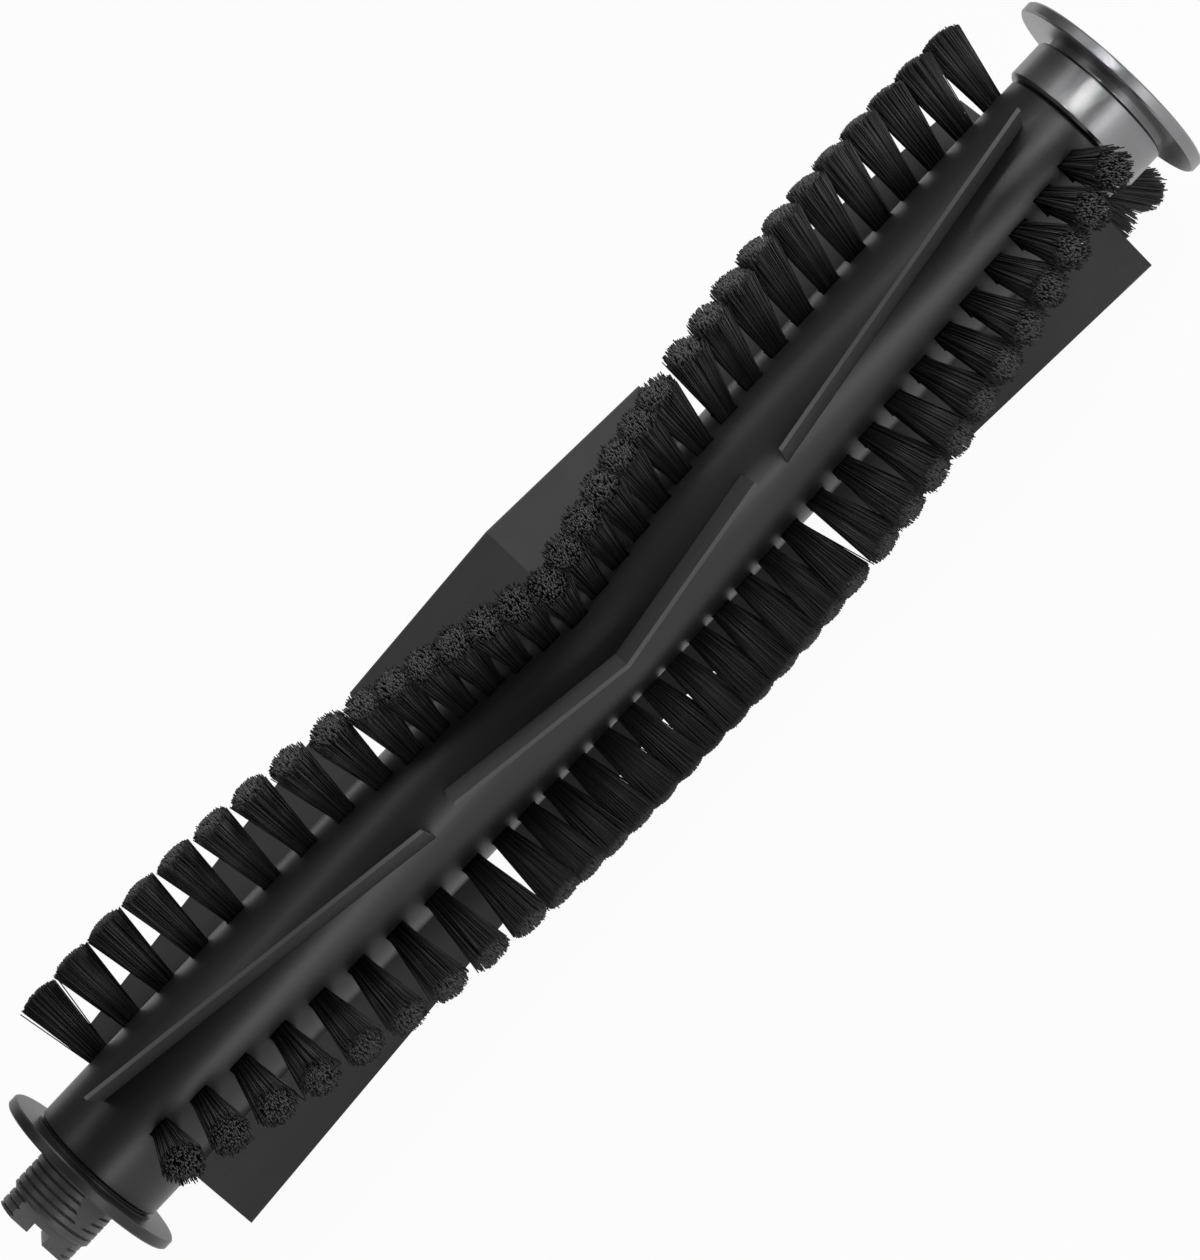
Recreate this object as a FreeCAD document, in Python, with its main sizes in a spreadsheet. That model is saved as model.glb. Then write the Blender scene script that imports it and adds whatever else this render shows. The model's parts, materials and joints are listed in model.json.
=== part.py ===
import FreeCAD, Part
import Sketcher
import math
import os

# Main roller brush of a robot vacuum, lying as it comes to rest on the tips of its bristles.
# The roller's axis is X, from the drive stub to the bearing cap, and Z is up.
# The origin is on the axis, at the outer face of the drive flange, where the stub starts.

# Driving dimensions, in millimetres and degrees. Margins are from the ends of the core.
DIMENSIONS = {
    # core
    "core_diameter": 18.0,
    "core_length": 170.0,
    "core_chamfer": 0.3,
    "crease_offset": 2.2,
    "vee_angle": 8.35,
    # drive end
    "flange_diameter": 25.7,
    "flange_thickness": 1.4,
    "flange_chamfer": 0.2,
    "flange_hub_width": 0.2,
    "groove_depth": 0.7,
    "spacer_thickness": 0.3,
    "stub_diameter": 11.6,
    "stub_length": 6.5,
    "tip_step_depth": 0.4,
    "tip_length": 2.75,
    "tip_across_flats": 7.2,
    "tip_slot_width": 2.4,
    "tip_slot_floor_height": 1.35,
    "tip_turn_angle": -19.0,
    "wedge_flat_depth": 0.65,
    "wedge_flat_length": 3.9,
    "wedge_flat_angle": 187.7,
    "shank_diameter": 6.0,
    "shank_length": 14.0,
    "shank_end_gap": 0.5,
    # rubber blades
    "blade_tip_diameter": 37.2,
    "blade_thickness": 0.5,
    "blade_foot_width": 2.2,
    "blade_foot_height": 1.0,
    "blade_foot_depth": 3.2,
    "blade_lead_angle": 41.5,
    "blade_centre_half_length": 25.65,
    "blade_gap": 4.75,
    "blade_drive_margin": 7.1,
    "blade_cap_margin": 4.3,
    # bristle tufts and the staples that hold them
    "tuft_tip_diameter": 39.8,
    "tuft_root_diameter": 2.8,
    "tuft_floor_wall": 1.45,
    "tuft_head_gap": 0.4,
    "tuft_inner_inset_length": 0.5,
    "tuft_drive_margin": 9.5,
    "tuft_cap_margin": 3.6,
    "staple_height": 0.9,
    "staple_thickness": 0.4,
    "staple_side_gap": 0.4,
    "drive_tuft_pitch": 5.9,
    "drive_tuft_lean_angle": 0.5,
    "centre_tuft_pitch": 4.15,
    "centre_tuft_lean_angle": 2.5,
    "cap_tuft_pitch": 4.85,
    "cap_tuft_lean_angle": 9.0,
    # bearing cap and what it turns on
    "collar_diameter": 19.6,
    "collar_length": 5.45,
    "collar_lip_depth": 0.35,
    "neck_depth": 0.9,
    "neck_width": 1.0,
    "cap_flange_diameter": 28.2,
    "cap_flange_thickness": 1.6,
    "cap_flange_chamfer": 0.25,
    "counterbore_diameter": 10.5,
    "counterbore_depth": 1.5,
    "bush_diameter": 7.0,
    "pin_diameter": 4.0,
    "pin_seat_length": 14.0,
    "pin_end_length": 0.5,
    "pin_chamfer": 0.3,
    "washer_diameter": 9.0,
    "washer_thickness": 0.15,
    "washer_play_gap": 0.05,
    "ring_diameter": 7.4,
    "ring_thickness": 0.5,
    "ring_groove_depth": 0.4,
    "ring_opening": 2.4,
    "ring_play_gap": 0.05,
    # clearances
    "fit_gap": 0.05,
    "running_gap": 0.04,
}

ROWS = (1, 2, 3)
ROW_STEP = 360 / len(ROWS)
SECTIONS = ("drive", "centre", "cap")
TUFT_SIDES = 6
SOCKET_SIDES = 4
CUT_MARGIN = 1.0
X_AXIS = FreeCAD.Vector(1, 0, 0)

doc = FreeCAD.newDocument("RollerBrush")
sheet = doc.addObject("Spreadsheet::Sheet", "Dims")
for line, (alias, value) in enumerate(DIMENSIONS.items(), start=1):
    sheet.set(f"A{line}", alias)
    sheet.set(f"B{line}", str(value))
    sheet.setAlias(f"B{line}", alias)
doc.recompute()

# Places along the axis, as expressions of the sheet.
CORE_START = "(Dims.flange_thickness + Dims.flange_hub_width + Dims.spacer_thickness)"
CORE_END = f"({CORE_START} + Dims.core_length)"
CREASE = f"({CORE_START} + Dims.core_length / 2 + Dims.crease_offset)"
CAP_START = f"({CORE_END} + Dims.washer_thickness + Dims.washer_play_gap)"
COLLAR_END = f"({CAP_START} + Dims.collar_length)"
NECK_END = f"({COLLAR_END} + Dims.neck_width)"
CAP_FACE = f"({NECK_END} + Dims.cap_flange_thickness)"
BUSH_END = f"({CAP_FACE} - Dims.counterbore_depth)"
RING_START = f"({BUSH_END} + Dims.ring_play_gap)"
STUB_TIP = "(-Dims.stub_length - Dims.tip_length)"

# Every row is a V whose arms slope by the same angle. Twist is in degrees per millimetre.
TUFT_TWIST = "(tan(Dims.vee_angle) * 360 / pi / Dims.core_diameter)"
BLADE_TWIST = "(tan(Dims.vee_angle) * 360 / pi / Dims.blade_tip_diameter)"

# Blade strips: where their sections stand, and the middle and half length of a flat stretch, from the crease.
DRIVE_END = "(Dims.core_length / 2 + Dims.crease_offset - Dims.blade_drive_margin)"
INNER_END = "(Dims.blade_centre_half_length + Dims.blade_gap)"
CAP_END = "(Dims.core_length / 2 - Dims.crease_offset - Dims.blade_cap_margin)"
BLADES = {
    "drive": (
        (f"-{DRIVE_END}", f"-{INNER_END}"),
        (f"(({DRIVE_END} + {INNER_END}) / 2)", f"(({DRIVE_END} - {INNER_END}) / 2)"),
    ),
    "centre": (
        ("-Dims.blade_centre_half_length", "0", "Dims.blade_centre_half_length"),
        ("(Dims.blade_centre_half_length / 2)", "(Dims.blade_centre_half_length / 2)"),
    ),
    "cap": (
        (INNER_END, CAP_END),
        (f"(({CAP_END} + {INNER_END}) / 2)", f"(({CAP_END} - {INNER_END}) / 2)"),
    ),
}

# The ends of one tuft row and the crease of the next are equally far from straight down, to carry the roller.
TUFT_RUN = "(Dims.core_length - Dims.tuft_drive_margin - Dims.tuft_cap_margin)"
HALF_TWIST = f"({TUFT_TWIST} * {TUFT_RUN} / 4)"


def size(name):
    """A driving dimension as a plain number."""
    return float(getattr(sheet, name))


def new_body(label):
    body = doc.addObject("PartDesign::Body", label)
    body.Label = label
    return body


def origin_feature(body, role):
    return next(f for f in body.Origin.OriginFeatures if f.Role == role)


def outline(body, name, plane, corners, turn=None):
    """Closed sketch of straight lines whose corners are expressions of the sheet, turned about X if asked."""
    sketch = body.newObject("Sketcher::SketchObject", name)
    sketch.AttachmentSupport = (origin_feature(body, plane), [""])
    sketch.MapMode = "FlatFace"
    count = len(corners)
    step = 2 * math.pi / count
    start = [FreeCAD.Vector(math.cos(i * step), math.sin(i * step), 0) for i in range(count)]
    for i in range(count):
        sketch.addGeometry(Part.LineSegment(start[i], start[(i + 1) % count]))
    for i in range(count):
        sketch.addConstraint(Sketcher.Constraint("Coincident", i, 2, (i + 1) % count, 1))
    for i, (across, up) in enumerate(corners):
        pin_corner(sketch, "DistanceX", f"across_{i}", i, start[i].x, across)
        pin_corner(sketch, "DistanceY", f"up_{i}", i, start[i].y, up)
    if turn:
        sketch.AttachmentOffset = FreeCAD.Placement(FreeCAD.Vector(), FreeCAD.Rotation(X_AXIS, 1))
        sketch.setExpression("AttachmentOffset.Rotation.Angle", turn)
    return sketch


def pin_corner(sketch, kind, name, corner, value, expression):
    """Holds one coordinate of a corner, measured from the sketch's origin."""
    row = sketch.addConstraint(Sketcher.Constraint(kind, -1, 1, corner, 1, value))
    sketch.renameConstraint(row, name)
    sketch.setExpression(f"Constraints.{name}", expression)


def turned(label, corners):
    """Body turned about X from a closed outline of (place along X, radius) corners."""
    body = new_body(label)
    profile = outline(body, f"{label}_profile", "XY_Plane", corners)
    turning = body.newObject("PartDesign::Revolution", f"{label}_turning")
    turning.Profile = profile
    turning.ReferenceAxis = (profile, ["H_Axis"])
    turning.Angle = 360
    return body


def pocket(body, sketch, width):
    """Cuts the sketch's area right through, the same way to both sides of its plane."""
    doc.recompute()
    before = body.Shape.Volume
    cut = body.newObject("PartDesign::Pocket", f"{sketch.Name}_cut")
    cut.Profile = sketch
    cut.SideType = "Symmetric"
    cut.setExpression("Length", width)
    doc.recompute()
    if not body.Shape.Volume < before:
        raise RuntimeError(f"{cut.Name} cuts nothing")


def tube(label, start, end, inner, outer):
    """Plain ring between two places along X, with its radii as expressions."""
    return turned(label, [(start, inner), (start, outer), (end, outer), (end, inner)])


def blade_row_angle(row):
    """Angle about X of a blade row at its crease, which leads the tuft row of the same number."""
    return f"({HALF_TWIST} - 90 + {(row - 0.5) * ROW_STEP} + Dims.blade_lead_angle)"


def blade_section(body, name, row, station, strip, gap):
    """Tee-shaped section of a flat strip, square to X, grown by a gap on every side."""
    middle, half = strip
    tip = f"(Dims.blade_tip_diameter / 2 * cos({BLADE_TWIST} * {half}) + {gap})"
    foot_bottom = f"(Dims.core_diameter / 2 - Dims.blade_foot_depth - {gap})"
    foot_top = f"({foot_bottom} + Dims.blade_foot_height + 2 * {gap})"
    stem = f"(Dims.blade_thickness / 2 + {gap})"
    foot = f"(Dims.blade_foot_width / 2 + {gap})"
    aside = f"Dims.blade_tip_diameter / 2 * sin({BLADE_TWIST} * ({middle} - abs({station})))"
    corners = [
        (tip, f"{aside} - {stem}"),
        (tip, f"{aside} + {stem}"),
        (foot_top, f"{aside} + {stem}"),
        (foot_top, f"{aside} + {foot}"),
        (foot_bottom, f"{aside} + {foot}"),
        (foot_bottom, f"{aside} - {foot}"),
        (foot_top, f"{aside} - {foot}"),
        (foot_top, f"{aside} - {stem}"),
    ]
    section = outline(body, name, "YZ_Plane", corners)
    section.setExpression("AttachmentOffset.Base.z", f"{CREASE} + {station}")
    turn = f"{blade_row_angle(row)} - {BLADE_TWIST} * {middle}"
    section.setExpression("AttachmentOffset.Rotation.Angle", turn)
    return section


def blade_loft(body, name, kind, row, section, gap):
    """Flat strip, or two flat halves that meet at the crease, ruled from station to station."""
    stations, strip = BLADES[section]
    ends = [f"({stations[0]} - {gap})", *stations[1:-1], f"({stations[-1]} + {gap})"]
    sections = [blade_section(body, f"{name}_{i}", row, s, strip, gap) for i, s in enumerate(ends)]
    doc.recompute()
    loft = body.newObject(kind, f"{name}_loft")
    loft.Profile = sections[0]
    loft.Sections = sections[1:]
    loft.Ruled = True
    return loft


def blade(row, section):
    label = f"blade_{row}_{section}"
    body = new_body(label)
    blade_loft(body, label, "PartDesign::AdditiveLoft", row, section, "0")
    return body


def core_rod():
    """Core as moulded: a rod with a blind bore at each end and a tee slot for every blade."""
    radius = "Dims.core_diameter / 2"
    shank_bore = "Dims.shank_diameter / 2 + Dims.fit_gap"
    pin_bore = "Dims.pin_diameter / 2 + Dims.fit_gap"
    shank_bottom = "Dims.shank_length + Dims.shank_end_gap"
    pin_bottom = f"{CORE_END} - Dims.pin_seat_length"
    body = turned("core_rod", [
        (CORE_START, shank_bore),
        (CORE_START, f"{radius} - Dims.core_chamfer"),
        (f"{CORE_START} + Dims.core_chamfer", radius),
        (f"{CORE_END} - Dims.core_chamfer", radius),
        (CORE_END, f"{radius} - Dims.core_chamfer"),
        (CORE_END, pin_bore),
        (pin_bottom, pin_bore),
        (pin_bottom, "0"),
        (shank_bottom, "0"),
        (shank_bottom, shank_bore),
    ])
    kind = "PartDesign::SubtractiveLoft"
    slots = [blade_loft(body, f"slot_{s}", kind, len(ROWS), s, "Dims.fit_gap") for s in SECTIONS]
    doc.recompute()
    pattern = body.newObject("PartDesign::PolarPattern", "slot_rows")
    pattern.Originals = slots
    pattern.Axis = (origin_feature(body, "X_Axis"), [""])
    pattern.Angle = 360
    pattern.Occurrences = len(ROWS)
    body.Tip = pattern
    return body


def bunch(levels, sides):
    """Many-sided solid along Y through (height, diameter over corners) levels."""
    turn = 2 * math.pi / sides
    angles = [(i + 0.5) * turn for i in range(sides)]
    rings = []
    for height, diameter in levels:
        ring = [FreeCAD.Vector(math.cos(a), 0, math.sin(a)) * (diameter / 2) for a in angles]
        rings.append([p + FreeCAD.Vector(0, height, 0) for p in ring])
    outlines = [rings[0], rings[-1][::-1]]
    for low, high in zip(rings, rings[1:]):
        for i in range(sides):
            j = (i + 1) % sides
            outlines.append([low[i], high[i], high[j], low[j]])
    faces = [Part.Face(Part.makePolygon(points + points[:1])) for points in outlines]
    return Part.Solid(Part.Shell(faces))


def tuft_stations(section):
    """Where the tufts of a section stand, evenly spaced, from the crease."""
    to_drive = size("core_length") / 2 + size("crease_offset")
    to_cap = size("core_length") / 2 - size("crease_offset")
    middle = size("blade_centre_half_length") - size("tuft_inner_inset_length")
    inner = middle + size("blade_gap")
    first, last = {
        "drive": (size("tuft_drive_margin") - to_drive, -inner),
        "centre": (-middle, middle),
        "cap": (inner, to_cap - size("tuft_cap_margin")),
    }[section]
    steps = int((last - first) / size(f"{section}_tuft_pitch"))
    return [first + (last - first) * i / steps for i in range(steps + 1)]


def tuft_places(row):
    """Section name and placement of every tuft in a row, from drive end to cap end."""
    crease = size("flange_thickness") + size("flange_hub_width") + size("spacer_thickness")
    crease += size("core_length") / 2 + size("crease_offset")
    twist = math.degrees(math.tan(math.radians(size("vee_angle"))) / (size("core_diameter") / 2))
    run = size("core_length") - size("tuft_drive_margin") - size("tuft_cap_margin")
    crease_angle = twist * run / 4 - 90 + (row - 0.5) * ROW_STEP
    places = []
    for section in SECTIONS:
        lean = FreeCAD.Rotation(FreeCAD.Vector(0, 0, 1), -size(f"{section}_tuft_lean_angle"))
        for station in tuft_stations(section):
            turn = FreeCAD.Rotation(X_AXIS, crease_angle - twist * abs(station))
            about_axis = FreeCAD.Placement(FreeCAD.Vector(), turn)
            root = FreeCAD.Vector(crease + station, size("core_diameter") / 2, 0)
            places.append((section, about_axis * FreeCAD.Placement(root, lean)))
    return places


def socket_depth():
    """Depth of a tuft's hole, which leaves a wall above the bore of the drive stub's shank."""
    bore = size("shank_diameter") / 2 + size("fit_gap")
    return size("core_diameter") / 2 - bore - size("tuft_floor_wall")


def tuft(section):
    """One flared bunch of bristles, from the staple in its hole to its trimmed head."""
    lean = math.radians(size(f"{section}_tuft_lean_angle"))
    root = size("tuft_root_diameter")
    head = size(f"{section}_tuft_pitch") - size("tuft_head_gap")
    reach = (size("tuft_tip_diameter") - size("core_diameter")) / 2 / math.cos(lean)
    return bunch([(size("staple_height") - socket_depth(), root), (0, root), (reach, head)], TUFT_SIDES)


def socket():
    """Space of a tuft's hole, open past the core's surface."""
    across = (size("tuft_root_diameter") + 2 * size("fit_gap")) / math.cos(math.pi / SOCKET_SIDES)
    return bunch([(-socket_depth(), across), (CUT_MARGIN, across)], SOCKET_SIDES)


def staple():
    """Flat wire across the bottom of a tuft's hole."""
    width = size("tuft_root_diameter") - size("staple_side_gap")
    thick = size("staple_thickness")
    corner = FreeCAD.Vector(-width / 2, -socket_depth(), -thick / 2)
    return Part.makeBox(width, size("staple_height"), thick, corner)


def placed(shape, placement):
    copy = shape.copy()
    copy.Placement = placement
    return copy


def group(label, shapes):
    """Node of many separate solids."""
    feature = doc.addObject("Part::Feature", label)
    feature.Label = label
    feature.Shape = Part.makeCompound(shapes)
    feature.Placement = FreeCAD.Placement()
    return feature


def core():
    """Core with the tuft holes drilled."""
    holes = [placed(socket(), place) for row in ROWS for _, place in tuft_places(row)]
    drilled = doc.addObject("Part::Cut", "core")
    drilled.Label = "core"
    drilled.Base = core_rod()
    drilled.Tool = group("tuft_holes", holes)
    return drilled


def drive_stub():
    """Threaded stub: shank in the core, round base with a sloping flat, flatted and slotted tip."""
    base = "Dims.stub_diameter / 2"
    tip = f"{base} - Dims.tip_step_depth"
    shank = "Dims.shank_diameter / 2"
    body = turned("drive_stub", [
        (STUB_TIP, "0"),
        (STUB_TIP, tip),
        ("-Dims.stub_length", tip),
        ("-Dims.stub_length", base),
        ("0", base),
        ("0", shank),
        ("Dims.shank_length", shank),
        ("Dims.shank_length", "0"),
    ])
    outside = f"({STUB_TIP} - {CUT_MARGIN})"
    slot_bottom = "(-Dims.stub_length - Dims.tip_slot_floor_height)"
    half_slot = "Dims.tip_slot_width / 2"
    slot = outline(body, "tip_slot", "XZ_Plane", [
        (outside, f"-{half_slot}"),
        (slot_bottom, f"-{half_slot}"),
        (slot_bottom, half_slot),
        (outside, half_slot),
    ], "Dims.tip_turn_angle")
    pocket(body, slot, "2 * Dims.stub_diameter")
    for side, sign in (("near", "-"), ("far", "")):
        flat = outline(body, f"tip_flat_{side}", "XY_Plane", [
            (outside, f"{sign}Dims.tip_across_flats / 2"),
            ("-Dims.stub_length", f"{sign}Dims.tip_across_flats / 2"),
            ("-Dims.stub_length", f"{sign}Dims.stub_diameter"),
            (outside, f"{sign}Dims.stub_diameter"),
        ], "Dims.tip_turn_angle")
        pocket(body, flat, "2 * Dims.stub_diameter")
    wedge = outline(body, "wedge_flat", "XY_Plane", [
        ("0", f"{base} - Dims.wedge_flat_depth"),
        ("-Dims.wedge_flat_length", base),
        ("-Dims.wedge_flat_length", "Dims.stub_diameter"),
        ("0", "Dims.stub_diameter"),
    ], "Dims.wedge_flat_angle")
    pocket(body, wedge, "2 * Dims.stub_diameter")
    return body


def drive_flange():
    """Hair-guard disc with a low hub as wide as the core."""
    bore = "Dims.shank_diameter / 2 + Dims.fit_gap"
    rim = "Dims.flange_diameter / 2"
    hub = "Dims.core_diameter / 2"
    hub_face = "Dims.flange_thickness + Dims.flange_hub_width"
    return turned("drive_flange", [
        ("0", bore),
        ("0", f"{rim} - Dims.flange_chamfer"),
        ("Dims.flange_chamfer", rim),
        ("Dims.flange_thickness - Dims.flange_chamfer", rim),
        ("Dims.flange_thickness", f"{rim} - Dims.flange_chamfer"),
        ("Dims.flange_thickness", hub),
        (hub_face, hub),
        (hub_face, bore),
    ])


def drive_spacer():
    """Washer between flange and core, smaller than both, so that a groove shows."""
    start = "Dims.flange_thickness + Dims.flange_hub_width"
    bore = "Dims.shank_diameter / 2 + Dims.fit_gap"
    return tube("drive_spacer", start, CORE_START, bore, "Dims.core_diameter / 2 - Dims.groove_depth")


def bearing_cap():
    """Turned metal cap: collar with rounded lips, neck, flange, bore for the bush and a counterbore."""
    bore = "Dims.bush_diameter / 2 + Dims.fit_gap"
    collar = "Dims.collar_diameter / 2"
    neck = f"{collar} - Dims.neck_depth"
    rim = "Dims.cap_flange_diameter / 2"
    recess = "Dims.counterbore_diameter / 2"
    return turned("bearing_cap", [
        (CAP_START, bore),
        (CAP_START, f"{collar} - Dims.collar_lip_depth"),
        (f"{CAP_START} + Dims.collar_lip_depth", collar),
        (f"{COLLAR_END} - Dims.collar_lip_depth", collar),
        (COLLAR_END, f"{collar} - Dims.collar_lip_depth"),
        (COLLAR_END, neck),
        (NECK_END, neck),
        (NECK_END, f"{rim} - Dims.cap_flange_chamfer"),
        (f"{NECK_END} + Dims.cap_flange_chamfer", rim),
        (f"{CAP_FACE} - Dims.cap_flange_chamfer", rim),
        (CAP_FACE, f"{rim} - Dims.cap_flange_chamfer"),
        (CAP_FACE, recess),
        (BUSH_END, recess),
        (BUSH_END, bore),
    ])


def bearing_bush():
    """Bronze bush in the cap, running on the axle pin."""
    bore = "Dims.pin_diameter / 2 + Dims.running_gap"
    return tube("bearing_bush", CAP_START, BUSH_END, bore, "Dims.bush_diameter / 2")


def axle_pin():
    """Steel pin seated in the core, with a groove near its outer end for the retaining ring."""
    radius = "Dims.pin_diameter / 2"
    groove = f"{radius} - Dims.ring_groove_depth"
    groove_end = f"{RING_START} + Dims.ring_thickness + Dims.fit_gap"
    end = f"{groove_end} + Dims.pin_end_length"
    return turned("axle_pin", [
        (f"{CORE_END} - Dims.pin_seat_length", "0"),
        (f"{CORE_END} - Dims.pin_seat_length", radius),
        (RING_START, radius),
        (RING_START, groove),
        (groove_end, groove),
        (groove_end, radius),
        (f"{end} - Dims.pin_chamfer", radius),
        (end, f"{radius} - Dims.pin_chamfer"),
        (end, "0"),
    ])


def thrust_washer():
    """Washer on the pin, against the end of the core."""
    bore = "Dims.pin_diameter / 2 + Dims.fit_gap"
    end = f"{CORE_END} + Dims.washer_thickness"
    return tube("thrust_washer", CORE_END, end, bore, "Dims.washer_diameter / 2")


def retaining_ring():
    """Open clip in the pin's groove."""
    bore = "Dims.pin_diameter / 2 - Dims.ring_groove_depth + Dims.fit_gap"
    end = f"{RING_START} + Dims.ring_thickness"
    body = tube("retaining_ring", RING_START, end, bore, "Dims.ring_diameter / 2")
    opening = outline(body, "ring_mouth", "XY_Plane", [
        (f"{RING_START} - Dims.ring_thickness", "0"),
        (f"{end} + Dims.ring_thickness", "0"),
        (f"{end} + Dims.ring_thickness", "Dims.ring_diameter"),
        (f"{RING_START} - Dims.ring_thickness", "Dims.ring_diameter"),
    ])
    pocket(body, opening, "Dims.ring_opening")
    return body


def bristle_row(row):
    tufts = {section: tuft(section) for section in SECTIONS}
    return group(f"bristle_row_{row}", [placed(tufts[section], place) for section, place in tuft_places(row)])


def staple_row(row):
    return group(f"staple_row_{row}", [placed(staple(), place) for _, place in tuft_places(row)])


nodes = [core()]
nodes += [blade(row, section) for row in ROWS for section in SECTIONS]
nodes += [bristle_row(row) for row in ROWS]
nodes += [staple_row(row) for row in ROWS]
nodes += [drive_flange(), drive_spacer(), drive_stub()]
nodes += [axle_pin(), thrust_washer(), retaining_ring()]
nodes += [bearing_cap(), bearing_bush()]
doc.recompute()

for item in doc.Objects:
    if "Invalid" in item.State or "Error" in item.State:
        raise RuntimeError(f"{item.Label} failed to build: {item.State}")
for node in nodes:
    if node.Shape.isNull() or not node.Shape.isValid():
        raise RuntimeError(f"{node.Label} has no valid shape")

os.makedirs("parts", exist_ok=True)
for node in nodes:
    node.Shape.exportStep(f"parts/{node.Label}.step")
    print(node.Label, len(node.Shape.Solids), round(node.Shape.Volume, 2))
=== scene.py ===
"""Looks of the roller brush: bristle filaments, the stub's thread, materials, studio light and camera."""

import json
import math

import bmesh
import bpy
import numpy as np
from mathutils import Matrix, Vector


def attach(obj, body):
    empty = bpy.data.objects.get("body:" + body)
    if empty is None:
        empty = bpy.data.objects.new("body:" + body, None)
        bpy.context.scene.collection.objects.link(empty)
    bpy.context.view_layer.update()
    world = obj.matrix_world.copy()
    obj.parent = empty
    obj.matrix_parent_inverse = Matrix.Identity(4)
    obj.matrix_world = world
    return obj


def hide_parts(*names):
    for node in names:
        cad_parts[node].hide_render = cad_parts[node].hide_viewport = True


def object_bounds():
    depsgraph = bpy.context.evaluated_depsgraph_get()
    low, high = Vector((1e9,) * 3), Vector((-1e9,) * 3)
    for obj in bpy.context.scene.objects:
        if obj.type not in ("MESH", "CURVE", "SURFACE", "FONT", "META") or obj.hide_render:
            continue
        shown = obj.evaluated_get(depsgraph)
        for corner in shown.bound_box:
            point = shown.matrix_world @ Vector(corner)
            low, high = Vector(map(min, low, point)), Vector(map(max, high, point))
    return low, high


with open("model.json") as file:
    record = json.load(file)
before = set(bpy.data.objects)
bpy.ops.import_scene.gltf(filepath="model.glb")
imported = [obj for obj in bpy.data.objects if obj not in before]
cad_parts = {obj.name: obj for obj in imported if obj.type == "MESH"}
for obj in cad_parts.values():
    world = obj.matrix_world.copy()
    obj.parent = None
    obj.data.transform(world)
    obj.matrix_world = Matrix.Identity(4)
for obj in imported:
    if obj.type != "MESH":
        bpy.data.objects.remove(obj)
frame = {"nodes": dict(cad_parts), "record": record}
cad_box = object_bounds()
nodes = frame["nodes"]

MM = 0.001
SEED = 417
X_AXIS = np.array([1.0, 0.0, 0.0])
WELD_DISTANCE = 0.001 * MM

# Bristle filaments, lengths in millimetres. The radii are at the foot and at the cut tip.
BRISTLE_ROWS = (1, 2, 3)
FILAMENTS_PER_TUFT = 450
FILAMENT_RADII = (0.090, 0.086)
FILAMENT_CORNERS = 3
TUFT_BURY = 1.2
TUFT_ROOT_HALF_WIDTH = 1.2
TUFT_HEAD_RADIUS = 2.75
HEAD_DOME = 0.7
LENGTH_LOSS = 0.30
TIP_JITTER = 0.12
STRAY_SHARE = 0.05
STRAY_JITTER = 0.4

# A CAD tuft has three rings of corners: in its hole, at the core's surface and at its head.
TUFT_RINGS = 3

# One more tuft of this row, which leans past the cap's collar, placed from the row's last one.
END_TUFT_ROW = 1
END_TUFT_ROOT_STEP = 1.3
END_TUFT_HEAD_STEP = 5.9

# Threaded drive stub, in millimetres and degrees. The solid that it replaces has no thread and a shorter wedge.
STUB_RADIUS = 5.8
STUB_LENGTH = 6.5
STUB_CHAMFER = 0.35
THREAD_PITCH = 1.08
THREAD_DEPTH = 0.30
THREAD_GROOVE_SHARE = 0.18
WEDGE_TURN = 187.7
WEDGE_DEPTH = 0.52
WEDGE_LENGTH = 4.8
WEDGE_LEAST_FACING = 0.1
TIP_RADIUS = 5.4
TIP_LENGTH = 2.75
TIP_END = -STUB_LENGTH - TIP_LENGTH
TIP_END_ROUND = 0.22
TIP_HALF_FLATS = 3.6
TIP_TURN = -19.0
SLOT_HALF_WIDTH = 1.2
SLOT_FLOOR = 1.35
SHANK_RADIUS = 3.0
SHANK_LENGTH = 14.0
SAME_PLACE = 0.01
SHARP_EDGE = math.radians(40)

# How finely the stub is divided.
AROUND = 180
ALONG_PER_PITCH = 28
PRONG_SAMPLES = 40

# Painted highlight along the blades' tip edge, as distances from the roller's axis in metres.
EDGE_HIGHLIGHT_FROM = 0.01825
EDGE_HIGHLIGHT_FULL = 0.01862

# Depth of the moulded grain, in metres.
GRAIN_DEPTH = 0.00004

# Camera, found from the photograph: 0.12 mm a pixel at the middle of the roller.
IMAGE_HEIGHT = 1260
SCALE = 0.12 * MM
CAMERA_DISTANCE = 0.60
CAMERA_ELEVATION = math.radians(28.35)
CAMERA_ROLL = math.radians(46.75)
CAMERA_TARGET = Vector((0.0899, 0.0, 0.0))
SENSOR_HEIGHT = 36.0
CLIP_START = 0.01

# Studio: lengths in metres. The white share is how much of the floor is seen as paper white.
FLOOR_HALF = 10.0
FLOOR_GREY = 0.50
FLOOR_WHITE_SHARE = 0.96
ROOM_STRENGTH = 0.12
CAP_AIM = (0.182, 0.0, 0.0)
OPEN_SPREAD = 180.0
GRID_SPREAD = 4.0

# Lamps: name, place, aim, width, height, power in watts and spread in degrees.
LAMPS = (
    ("front", (0.09, -0.95, 0.05), CAMERA_TARGET, 1.2, 0.12, 3.2, OPEN_SPREAD),
    ("right", (0.85, -0.20, 0.62), CAMERA_TARGET, 0.6, 0.40, 9.6, OPEN_SPREAD),
    ("cap", (0.335, -0.636, 0.706), CAP_AIM, 0.04, 0.06, 0.0022, GRID_SPREAD),
    ("overhead", (0.09, -0.08, 0.62), CAMERA_TARGET, 0.9, 0.05, 0.62, OPEN_SPREAD),
    ("behind", (0.09, 0.75, 0.20), CAMERA_TARGET, 1.1, 0.22, 0.9, OPEN_SPREAD),
)


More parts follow.
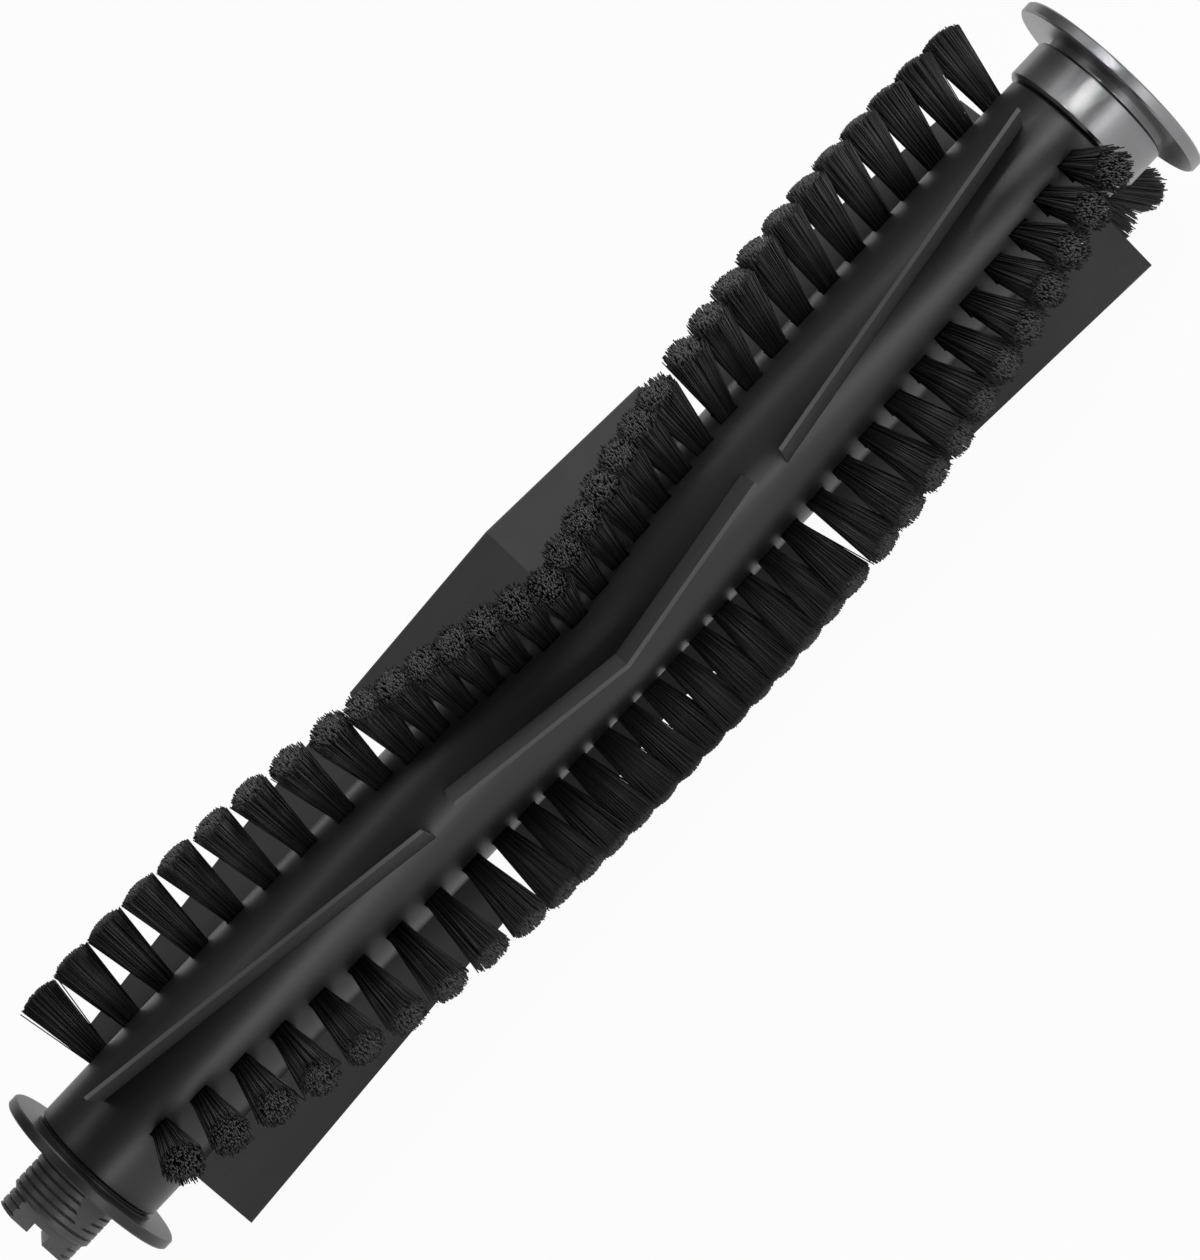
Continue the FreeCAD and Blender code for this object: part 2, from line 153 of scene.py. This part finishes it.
def node_tree(owner):
    """An empty node tree on a material or world, with a function that adds nodes to it."""
    owner.use_nodes = True
    tree = owner.node_tree
    tree.nodes.clear()

    def add(kind, **settings):
        node = tree.nodes.new("ShaderNode" + kind)
        for key, value in settings.items():
            setattr(node, key, value)
        return node

    return tree, add


def ranged(tree, add, source, low, high, start=0.0, end=1.0):
    """A value that goes from low to high while the source goes from start to end."""
    spread = add("MapRange")
    spread.inputs["From Min"].default_value = start
    spread.inputs["From Max"].default_value = end
    spread.inputs["To Min"].default_value = low
    spread.inputs["To Max"].default_value = high
    tree.links.new(source, spread.inputs["Value"])
    return spread.outputs["Result"]


def blended(tree, add, factor, first, second):
    """A colour between two colours, each a tuple or a socket."""
    mix = add("Mix", data_type="RGBA")
    tree.links.new(factor, mix.inputs["Factor"])
    for name, colour in (("A", first), ("B", second)):
        socket = next(s for s in mix.inputs if s.name == name and s.type == "RGBA")
        if isinstance(colour, tuple):
            socket.default_value = (*colour, 1.0)
        else:
            tree.links.new(colour, socket)
    return next(s for s in mix.outputs if s.type == "RGBA")


def noise(tree, add, vector, scale, detail=3.0):
    """Fractal noise, scale in features per metre."""
    texture = add("TexNoise")
    texture.inputs["Scale"].default_value = scale
    texture.inputs["Detail"].default_value = detail
    tree.links.new(vector, texture.inputs["Vector"])
    return texture.outputs["Fac"]


def stretched(tree, add, vector, scale):
    """A vector scaled along its three axes."""
    mapping = add("Mapping")
    mapping.inputs["Scale"].default_value = scale
    tree.links.new(vector, mapping.inputs["Vector"])
    return mapping.outputs["Vector"]


def axis_radius(tree, add, vector):
    """Distance from the roller's axis, in metres."""
    flat = add("VectorMath", operation="MULTIPLY")
    flat.inputs[1].default_value = (0.0, 1.0, 1.0)
    tree.links.new(vector, flat.inputs[0])
    length = add("VectorMath", operation="LENGTH")
    tree.links.new(flat.outputs["Vector"], length.inputs[0])
    return length.outputs["Value"]


def bumped(tree, add, height, strength, distance):
    """A bump normal from a height value, distance in metres."""
    bump = add("Bump")
    bump.inputs["Strength"].default_value = strength
    bump.inputs["Distance"].default_value = distance
    tree.links.new(height, bump.inputs["Height"])
    return bump.outputs["Normal"]


def shader(name, **constants):
    """A material with a Principled shader; returns what its maker needs to link textures to it."""
    material = bpy.data.materials.new(name)
    tree, add = node_tree(material)
    output = add("OutputMaterial")
    principled = add("BsdfPrincipled")
    for key, value in constants.items():
        principled.inputs[key.replace("_", " ")].default_value = value
    tree.links.new(principled.outputs["BSDF"], output.inputs["Surface"])
    place = add("TexCoord").outputs["Object"]
    return material, tree, add, principled, place


def core_plastic():
    """Semi-gloss black plastic with fine moulded grain and faint flow streaks along the roller."""
    material, tree, add, principled, place = shader("core_plastic", IOR=1.5)
    flow = stretched(tree, add, place, (60.0, 900.0, 900.0))
    streaks = noise(tree, add, flow, scale=1.0, detail=4.0)
    grain = noise(tree, add, place, scale=5200.0, detail=2.0)
    colour = blended(tree, add, streaks, (0.006, 0.006, 0.0063), (0.013, 0.013, 0.0136))
    roughness = ranged(tree, add, grain, low=0.33, high=0.44)
    normal = bumped(tree, add, grain, strength=0.10, distance=GRAIN_DEPTH)
    tree.links.new(colour, principled.inputs["Base Color"])
    tree.links.new(roughness, principled.inputs["Roughness"])
    tree.links.new(normal, principled.inputs["Normal"])
    return material


def blade_rubber():
    """Matt dark grey rubber with a fine bloom, and a painted highlight that makes it lighter along the tip edge.
    """
    material, tree, add, principled, place = shader("blade_rubber", IOR=1.45, Specular_IOR_Level=0.25)
    drawn = stretched(tree, add, place, (0.4, 1.0, 1.0))
    bloom = noise(tree, add, drawn, scale=420.0, detail=5.0)
    grain = noise(tree, add, place, scale=4200.0, detail=2.0)
    body = blended(tree, add, bloom, (0.042, 0.042, 0.044), (0.056, 0.056, 0.059))
    # painted highlight: the rubber is made lighter near the tip edge, standing in for the light that the edge
    # catches
    edge_highlight_mask = ranged(tree, add, axis_radius(tree, add, place), 0.0, 1.0, EDGE_HIGHLIGHT_FROM, EDGE_HIGHLIGHT_FULL)
    colour = blended(tree, add, edge_highlight_mask, body, (0.085, 0.085, 0.087))
    roughness = ranged(tree, add, grain, low=0.52, high=0.70)
    normal = bumped(tree, add, grain, strength=0.12, distance=GRAIN_DEPTH)
    tree.links.new(colour, principled.inputs["Base Color"])
    tree.links.new(roughness, principled.inputs["Roughness"])
    tree.links.new(normal, principled.inputs["Normal"])
    return material


def bristle_nylon():
    """Black nylon filaments, each with a tone of its own, grey at the cut tips in the middle of a tuft and
    darkened by painted shade towards the tuft's rim.
    """
    material, tree, add, principled, place = shader("bristle_nylon", IOR=1.5, Specular_IOR_Level=0.25)
    tone, along, outer = (add("Attribute", attribute_name=name).outputs["Fac"]
                          for name in ("tone", "along", "outer"))
    fine = noise(tree, add, place, scale=2600.0, detail=2.0)
    strand = blended(tree, add, tone, (0.009, 0.009, 0.0092), (0.028, 0.028, 0.0286))
    # painted shade: the cut tips get darker towards the rim of each tuft's head, where the domed head falls into
    # shade
    rim_shade_mask = ranged(tree, add, outer, 0.0, 1.0, start=0.25, end=0.85)
    tips_grey_with_rim_shade = blended(tree, add, rim_shade_mask, (0.083, 0.083, 0.084), (0.008, 0.008, 0.0083))
    tip = ranged(tree, add, along, 0.0, 1.0, start=0.955, end=0.995)
    colour = blended(tree, add, tip, strand, tips_grey_with_rim_shade)
    roughness = ranged(tree, add, fine, low=0.40, high=0.58)
    tree.links.new(colour, principled.inputs["Base Color"])
    tree.links.new(roughness, principled.inputs["Roughness"])
    return material


def stub_plastic():
    """Matt dark grey moulded plastic with faint scuffs."""
    material, tree, add, principled, place = shader("stub_plastic", IOR=1.5)
    scuff = noise(tree, add, place, scale=900.0, detail=5.0)
    grain = noise(tree, add, place, scale=6000.0, detail=2.0)
    colour = blended(tree, add, scuff, (0.058, 0.058, 0.059), (0.080, 0.080, 0.081))
    roughness = ranged(tree, add, grain, low=0.36, high=0.52)
    normal = bumped(tree, add, grain, strength=0.12, distance=GRAIN_DEPTH)
    tree.links.new(colour, principled.inputs["Base Color"])
    tree.links.new(roughness, principled.inputs["Roughness"])
    tree.links.new(normal, principled.inputs["Normal"])
    return material


def washer_plastic():
    """Matt black plastic washer with a slight rubbed haze."""
    material, tree, add, principled, place = shader("washer_plastic", IOR=1.45)
    haze = noise(tree, add, place, scale=700.0, detail=4.0)
    colour = blended(tree, add, haze, (0.007, 0.007, 0.007), (0.016, 0.016, 0.016))
    roughness = ranged(tree, add, haze, low=0.48, high=0.66)
    tree.links.new(colour, principled.inputs["Base Color"])
    tree.links.new(roughness, principled.inputs["Roughness"])
    return material


def turned_metal(name, dark, light, smooth, rough, ring_scale, ring_depth):
    """Metal turned on a lathe: fine rings about the roller's axis in gloss and bump, and a clouded tone."""
    material, tree, add, principled, place = shader(name, Metallic=1.0)
    rings = add("CombineXYZ")
    split = add("SeparateXYZ")
    tree.links.new(place, split.inputs["Vector"])
    tree.links.new(split.outputs["X"], rings.inputs["X"])
    tree.links.new(axis_radius(tree, add, place), rings.inputs["Y"])
    cut = noise(tree, add, rings.outputs["Vector"], ring_scale)
    cloud = noise(tree, add, place, scale=260.0)
    colour = blended(tree, add, cloud, dark, light)
    roughness = ranged(tree, add, cut, low=smooth, high=rough)
    normal = bumped(tree, add, cut, strength=0.20, distance=ring_depth)
    tree.links.new(colour, principled.inputs["Base Color"])
    tree.links.new(roughness, principled.inputs["Roughness"])
    tree.links.new(normal, principled.inputs["Normal"])
    return material


materials = {
    "core_plastic": core_plastic(),
    "blade_rubber": blade_rubber(),
    "bristle_nylon": bristle_nylon(),
    "stub_plastic": stub_plastic(),
    "washer_plastic": washer_plastic(),
    "staple_wire": turned_metal("staple_wire", dark=(0.42, 0.42, 0.43), light=(0.55, 0.55, 0.56),
                                smooth=0.25, rough=0.4, ring_scale=5000.0, ring_depth=0.00002),
    "steel": turned_metal("steel", dark=(0.46, 0.46, 0.47), light=(0.60, 0.60, 0.61),
                          smooth=0.20, rough=0.34, ring_scale=5000.0, ring_depth=0.00002),
    "cap_metal": turned_metal("cap_metal", dark=(0.21, 0.21, 0.215), light=(0.27, 0.27, 0.277),
                              smooth=0.30, rough=0.44, ring_scale=4200.0, ring_depth=0.00003),
    "bush_bronze": turned_metal("bush_bronze", dark=(0.40, 0.26, 0.12), light=(0.54, 0.36, 0.18),
                                smooth=0.36, rough=0.52, ring_scale=3000.0, ring_depth=0.00003),
}


def add_piece(name, points, faces, slot, *replaced):
    """A new mesh piece on the roller, points in millimetres, that stands for CAD nodes."""
    mesh = bpy.data.meshes.new(name)
    mesh.from_pydata([tuple(p) for p in np.asarray(points) * MM], [], faces)
    mesh.update()
    mesh.materials.append(materials[slot])
    piece = bpy.data.objects.new(name, mesh)
    bpy.context.collection.objects.link(piece)
    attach(piece, "roller")
    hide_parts(*replaced)
    return piece


def shade_smooth(piece):
    """Smooth shading on every face of a piece."""
    piece.data.polygons.foreach_set("use_smooth", [True] * len(piece.data.polygons))


def solids_of(node):
    """The corner points of each closed solid in a CAD node, in millimetres, one array a solid."""
    cad = bmesh.new()
    cad.from_mesh(nodes[node].data)
    bmesh.ops.remove_doubles(cad, verts=cad.verts, dist=WELD_DISTANCE)
    waiting = set(cad.verts)
    solids = []
    while waiting:
        front = [waiting.pop()]
        found = []
        while front:
            corner = front.pop()
            found.append(corner.co[:])
            for edge in corner.link_edges:
                other = edge.other_vert(corner)
                if other in waiting:
                    waiting.discard(other)
                    front.append(other)
        solids.append(np.array(found) / MM)
    cad.free()
    return sorted(solids, key=lambda points: points[:, 0].mean())


def unit(vector):
    """A vector of the same direction and length 1."""
    return vector / np.linalg.norm(vector)


def tuft_axis(solid):
    """The middle of a tuft at the core's surface and at its head."""
    order = np.argsort(np.hypot(solid[:, 1], solid[:, 2]))
    ring = len(solid) // TUFT_RINGS
    return solid[order[ring:2 * ring]].mean(axis=0), solid[order[2 * ring:]].mean(axis=0)


def disc_from_square(square):
    """Points of a square spread evenly over a disc, ring by ring."""
    first, second = square.T
    wide = np.abs(first) >= np.abs(second)
    radius = np.where(wide, first, second)
    share = np.where(wide, second, first) / radius
    angle = np.where(wide, share, 2.0 - share) * math.pi / 4
    return radius[:, None] * np.stack((np.cos(angle), np.sin(angle)), axis=1)


def tuft_filaments(root, head, rng):
    """Points of one tuft's filaments, by filament, level and corner, with each one's tone and place."""
    axis = unit(head - root)
    reach = np.linalg.norm(head - root)
    side = unit(X_AXIS - axis * axis[0])
    plane = np.stack((side, np.cross(axis, side)))

    count = FILAMENTS_PER_TUFT
    square = rng.uniform(-1.0, 1.0, (count, 2))
    disc = disc_from_square(square)
    outer = (disc ** 2).sum(axis=1)
    stray = rng.random(count) < STRAY_SHARE
    jitter = rng.normal(size=(count, 2)) * np.where(stray, STRAY_JITTER, TIP_JITTER)[:, None]
    length = reach - HEAD_DOME * outer - LENGTH_LOSS * rng.random(count) ** 2
    tone = rng.random(count)
    corners = np.arange(FILAMENT_CORNERS) * math.tau / FILAMENT_CORNERS
    turn = rng.random(count)[:, None] * math.tau + corners
    section = np.stack((np.cos(turn), np.sin(turn)), axis=2)

    foot = square * TUFT_ROOT_HALF_WIDTH
    tip = disc * TUFT_HEAD_RADIUS + jitter
    levels = []
    for spread, climb, radius in zip((foot, tip), (-TUFT_BURY, length), FILAMENT_RADII):
        middle = root + np.broadcast_to(climb, count)[:, None] * axis + spread @ plane
        levels.append(middle[:, None] + (section * radius) @ plane)
    return np.stack(levels, axis=1), tone, outer


def filament_faces(count):
    """Faces of closed filaments: their sides, a foot and a cut tip."""
    faces = []
    rings = len(FILAMENT_RADII)
    corners = range(FILAMENT_CORNERS)
    for filament in range(count):
        first = filament * rings * FILAMENT_CORNERS
        levels = [[first + ring * FILAMENT_CORNERS + corner for corner in corners] for ring in range(rings)]
        for low, high in zip(levels, levels[1:]):
            for corner in corners:
                beside = (corner + 1) % FILAMENT_CORNERS
                faces.append((low[corner], low[beside], high[beside], high[corner]))
        faces.append(levels[-1])
        faces.append(levels[0][::-1])
    return faces


def bristle_row(row):
    """All filaments of one V-shaped row, grown where the row's CAD tufts stand."""
    node = f"bristle_row_{row}"
    rng = np.random.default_rng(SEED + row)
    axes = [tuft_axis(solid) for solid in solids_of(node)]
    if row == END_TUFT_ROW:
        root, head = axes[-1]
        axes.append((root + X_AXIS * END_TUFT_ROOT_STEP, head + X_AXIS * END_TUFT_HEAD_STEP))
    bunches, tones, outers = zip(*(tuft_filaments(root, head, rng) for root, head in axes))
    points = np.concatenate(bunches)
    count = len(points)
    piece = add_piece(f"filaments_{row}", points.reshape(-1, 3), filament_faces(count), "bristle_nylon", node)
    each = len(FILAMENT_RADII) * FILAMENT_CORNERS
    values = {
        "along": np.tile(np.repeat((0.0, 1.0), FILAMENT_CORNERS), count),
        "tone": np.repeat(np.concatenate(tones), each),
        "outer": np.repeat(np.concatenate(outers), each),
    }
    for name, numbers in values.items():
        attribute = piece.data.attributes.new(name, "FLOAT", "POINT")
        attribute.data.foreach_set("value", numbers.astype(np.float32))
    shade_smooth(piece)


class Shells:
    """Closed shells gathered into one list of points and faces."""

    def __init__(self):
        self.points = []
        self.faces = []

    def loft(self, rings):
        """A closed shell through equal rings of points, capped flat at both ends."""
        start = len(self.points)
        size = len(rings[0])
        for ring in rings:
            self.points.extend(ring)
        for level in range(len(rings) - 1):
            low = start + level * size
            for corner in range(size):
                beside = (corner + 1) % size
                self.faces.append((low + corner, low + beside, low + size + beside, low + size + corner))
        self.faces.append(tuple(range(start + size - 1, start - 1, -1)))
        last = start + (len(rings) - 1) * size
        self.faces.append(tuple(range(last, last + size)))


def thread_loss(x, angle):
    """How far the thread's groove lies below its crest at a place along and around the stub."""
    phase = (x / THREAD_PITCH - angle / math.tau) % 1.0
    return THREAD_DEPTH * max(0.0, 1.0 - abs(phase - 0.5) / THREAD_GROOVE_SHARE)


def stub_ring(x):
    """One ring of the stub's threaded base, with the wedge-shaped flat cut into it."""
    lead_in = max(0.0, STUB_CHAMFER - (x + STUB_LENGTH))
    wedge = STUB_RADIUS - WEDGE_DEPTH * max(0.0, 1.0 + x / WEDGE_LENGTH)
    ring = []
    for step in range(AROUND):
        angle = step * math.tau / AROUND
        radius = STUB_RADIUS - max(lead_in, thread_loss(x, angle))
        facing = math.cos(angle - math.radians(WEDGE_TURN))
        if facing > WEDGE_LEAST_FACING and wedge / facing < STUB_RADIUS:
            radius = wedge / facing
        ring.append((x, radius * math.cos(angle), radius * math.sin(angle)))
    return ring


def tip_place(x, across, along):
    """A point of the stub's tip from its distances across the flats and along them."""
    turn = math.radians(TIP_TURN)
    return (x, across * math.cos(turn) - along * math.sin(turn), across * math.sin(turn) + along * math.cos(turn))


def tip_arc(x, ascending):
    """Heights of the tip's threaded round side over points across the flats."""
    heights = []
    for step in range(PRONG_SAMPLES + 1):
        across = TIP_HALF_FLATS * (1.0 - 2.0 * step / PRONG_SAMPLES)
        angle = math.atan2(math.sqrt(TIP_RADIUS ** 2 - across ** 2), across) + math.radians(TIP_TURN)
        if not ascending:
            angle += math.pi
        end_round = TIP_END_ROUND if x < TIP_END + SAME_PLACE else 0.0
        radius = TIP_RADIUS - max(end_round, thread_loss(x, angle))
        heights.append((across, math.sqrt(radius ** 2 - across ** 2)))
    return heights


def prong_ring(x, upper):
    """One ring of a prong beside the slot."""
    sign = 1.0 if upper else -1.0
    outline = [(TIP_HALF_FLATS, SLOT_HALF_WIDTH)] + tip_arc(x, upper) + [(-TIP_HALF_FLATS, SLOT_HALF_WIDTH)]
    return [tip_place(x, sign * across, sign * height) for across, height in outline]


def floor_ring(x):
    """One ring of the tip below the slot's floor."""
    upper = tip_arc(x, True)
    lower = [(-across, -height) for across, height in tip_arc(x, False)]
    return [tip_place(x, across, height) for across, height in upper + lower]


def round_ring(x, radius):
    """One plain round ring."""
    return [(x, radius * math.cos(step * math.tau / AROUND), radius * math.sin(step * math.tau / AROUND))
            for step in range(AROUND)]


def steps(start, end):
    """Places along the axis, close enough together to follow the thread."""
    count = max(2, round(abs(end - start) / THREAD_PITCH * ALONG_PER_PITCH))
    return [start + (end - start) * step / count for step in range(count + 1)]


def drive_stub():
    """The threaded stub with its wedge flat, flatted and slotted tip, and the shank inside the core."""
    shells = Shells()
    shells.loft([stub_ring(x) for x in steps(-STUB_LENGTH, 0.0)])
    slot_floor = -STUB_LENGTH - SLOT_FLOOR
    shells.loft([floor_ring(x) for x in steps(slot_floor, -STUB_LENGTH)])
    for upper in (True, False):
        shells.loft([prong_ring(x, upper) for x in steps(TIP_END, slot_floor)])
    shells.loft([round_ring(0.0, SHANK_RADIUS), round_ring(SHANK_LENGTH, SHANK_RADIUS)])
    piece = add_piece("threaded_stub", shells.points, shells.faces, "stub_plastic", "drive_stub")
    shell_mesh = bmesh.new()
    shell_mesh.from_mesh(piece.data)
    bmesh.ops.recalc_face_normals(shell_mesh, faces=shell_mesh.faces)
    shell_mesh.to_mesh(piece.data)
    shell_mesh.free()
    piece.data.set_sharp_from_angle(angle=SHARP_EDGE)
    shade_smooth(piece)


def dress_cad_nodes():
    """Each CAD node in the material of its record's slot."""
    slots = {row["node"]: row["material_slot"] for row in frame["record"]["subparts"]}
    for node, cad_object in nodes.items():
        for material_slot in cad_object.material_slots:
            material_slot.material = materials[slots[node]]


def studio_floor():
    """A floor that the camera and reflections see as paper white, with the roller's soft shadow on it."""
    mesh = bpy.data.meshes.new("floor")
    level = cad_box[0][2]
    corners = [(-FLOOR_HALF, -FLOOR_HALF), (FLOOR_HALF, -FLOOR_HALF), (FLOOR_HALF, FLOOR_HALF),
               (-FLOOR_HALF, FLOOR_HALF)]
    mesh.from_pydata([(x, y, level) for x, y in corners], [], [(0, 1, 2, 3)])
    material = bpy.data.materials.new("floor_paper")
    tree, add = node_tree(material)
    output = add("OutputMaterial")
    paper = add("BsdfDiffuse")
    paper.inputs["Color"].default_value = (FLOOR_GREY, FLOOR_GREY, FLOOR_GREY, 1.0)
    white = add("Emission")
    white.inputs["Strength"].default_value = 1.0
    seen = add("MixShader")
    seen.inputs["Fac"].default_value = FLOOR_WHITE_SHARE
    tree.links.new(paper.outputs["BSDF"], seen.inputs[1])
    tree.links.new(white.outputs["Emission"], seen.inputs[2])
    path = add("LightPath")
    either = path.outputs["Is Camera Ray"]
    for ray in ("Is Glossy Ray", "Is Transmission Ray"):
        joined = add("Math", operation="MAXIMUM")
        tree.links.new(either, joined.inputs[0])
        tree.links.new(path.outputs[ray], joined.inputs[1])
        either = joined.outputs["Value"]
    choice = add("MixShader")
    tree.links.new(either, choice.inputs["Fac"])
    tree.links.new(paper.outputs["BSDF"], choice.inputs[1])
    tree.links.new(seen.outputs["Shader"], choice.inputs[2])
    tree.links.new(choice.outputs["Shader"], output.inputs["Surface"])
    mesh.materials.append(material)
    floor = bpy.data.objects.new("floor", mesh)
    bpy.context.collection.objects.link(floor)


def softbox(name, place, aim, width, height, power, spread):
    """A rectangular soft lamp that points at a place; a grid in front of it narrows its spread."""
    light = bpy.data.lights.new(name, "AREA")
    light.shape = "RECTANGLE"
    light.size = width
    light.size_y = height
    light.energy = power
    light.spread = math.radians(spread)
    lamp = bpy.data.objects.new(name, light)
    bpy.context.collection.objects.link(lamp)
    away = (Vector(place) - Vector(aim)).normalized()
    across = Vector((0.0, 0.0, 1.0)).cross(away).normalized()
    turn = Matrix((across, away.cross(across), away)).transposed().to_4x4()
    lamp.matrix_world = Matrix.Translation(place) @ turn


def studio_light():
    """A softbox high at the right, strips in front, overhead and behind, a gridded lamp on the cap, a dim room."""
    for lamp in LAMPS:
        softbox(*lamp)
    world = bpy.data.worlds.new("room")
    bpy.context.scene.world = world
    tree, add = node_tree(world)
    output = add("OutputWorld")
    room = add("Background")
    room.inputs["Color"].default_value = (1.0, 1.0, 1.0, 1.0)
    room.inputs["Strength"].default_value = ROOM_STRENGTH
    tree.links.new(room.outputs["Background"], output.inputs["Surface"])


def camera():
    """The photograph's view: down onto the roller, rolled so that it runs up to the right."""
    up_slope = Vector((0.0, math.sin(CAMERA_ELEVATION), math.cos(CAMERA_ELEVATION)))
    back = Vector((0.0, -math.cos(CAMERA_ELEVATION), math.sin(CAMERA_ELEVATION)))
    along = Vector((1.0, 0.0, 0.0))
    right = along * math.cos(CAMERA_ROLL) - up_slope * math.sin(CAMERA_ROLL)
    up = along * math.sin(CAMERA_ROLL) + up_slope * math.cos(CAMERA_ROLL)
    data = bpy.data.cameras.new("camera")
    data.sensor_fit = "VERTICAL"
    data.sensor_height = SENSOR_HEIGHT
    data.lens = SENSOR_HEIGHT * CAMERA_DISTANCE / (IMAGE_HEIGHT * SCALE)
    data.clip_start = CLIP_START
    viewer = bpy.data.objects.new("camera", data)
    bpy.context.collection.objects.link(viewer)
    place = CAMERA_TARGET + back * CAMERA_DISTANCE
    viewer.matrix_world = Matrix.Translation(place) @ Matrix((right, up, back)).transposed().to_4x4()
    bpy.context.scene.camera = viewer


dress_cad_nodes()
for row in BRISTLE_ROWS:
    bristle_row(row)
drive_stub()
studio_floor()
studio_light()
camera()
bpy.context.scene.view_settings.view_transform = "Standard"
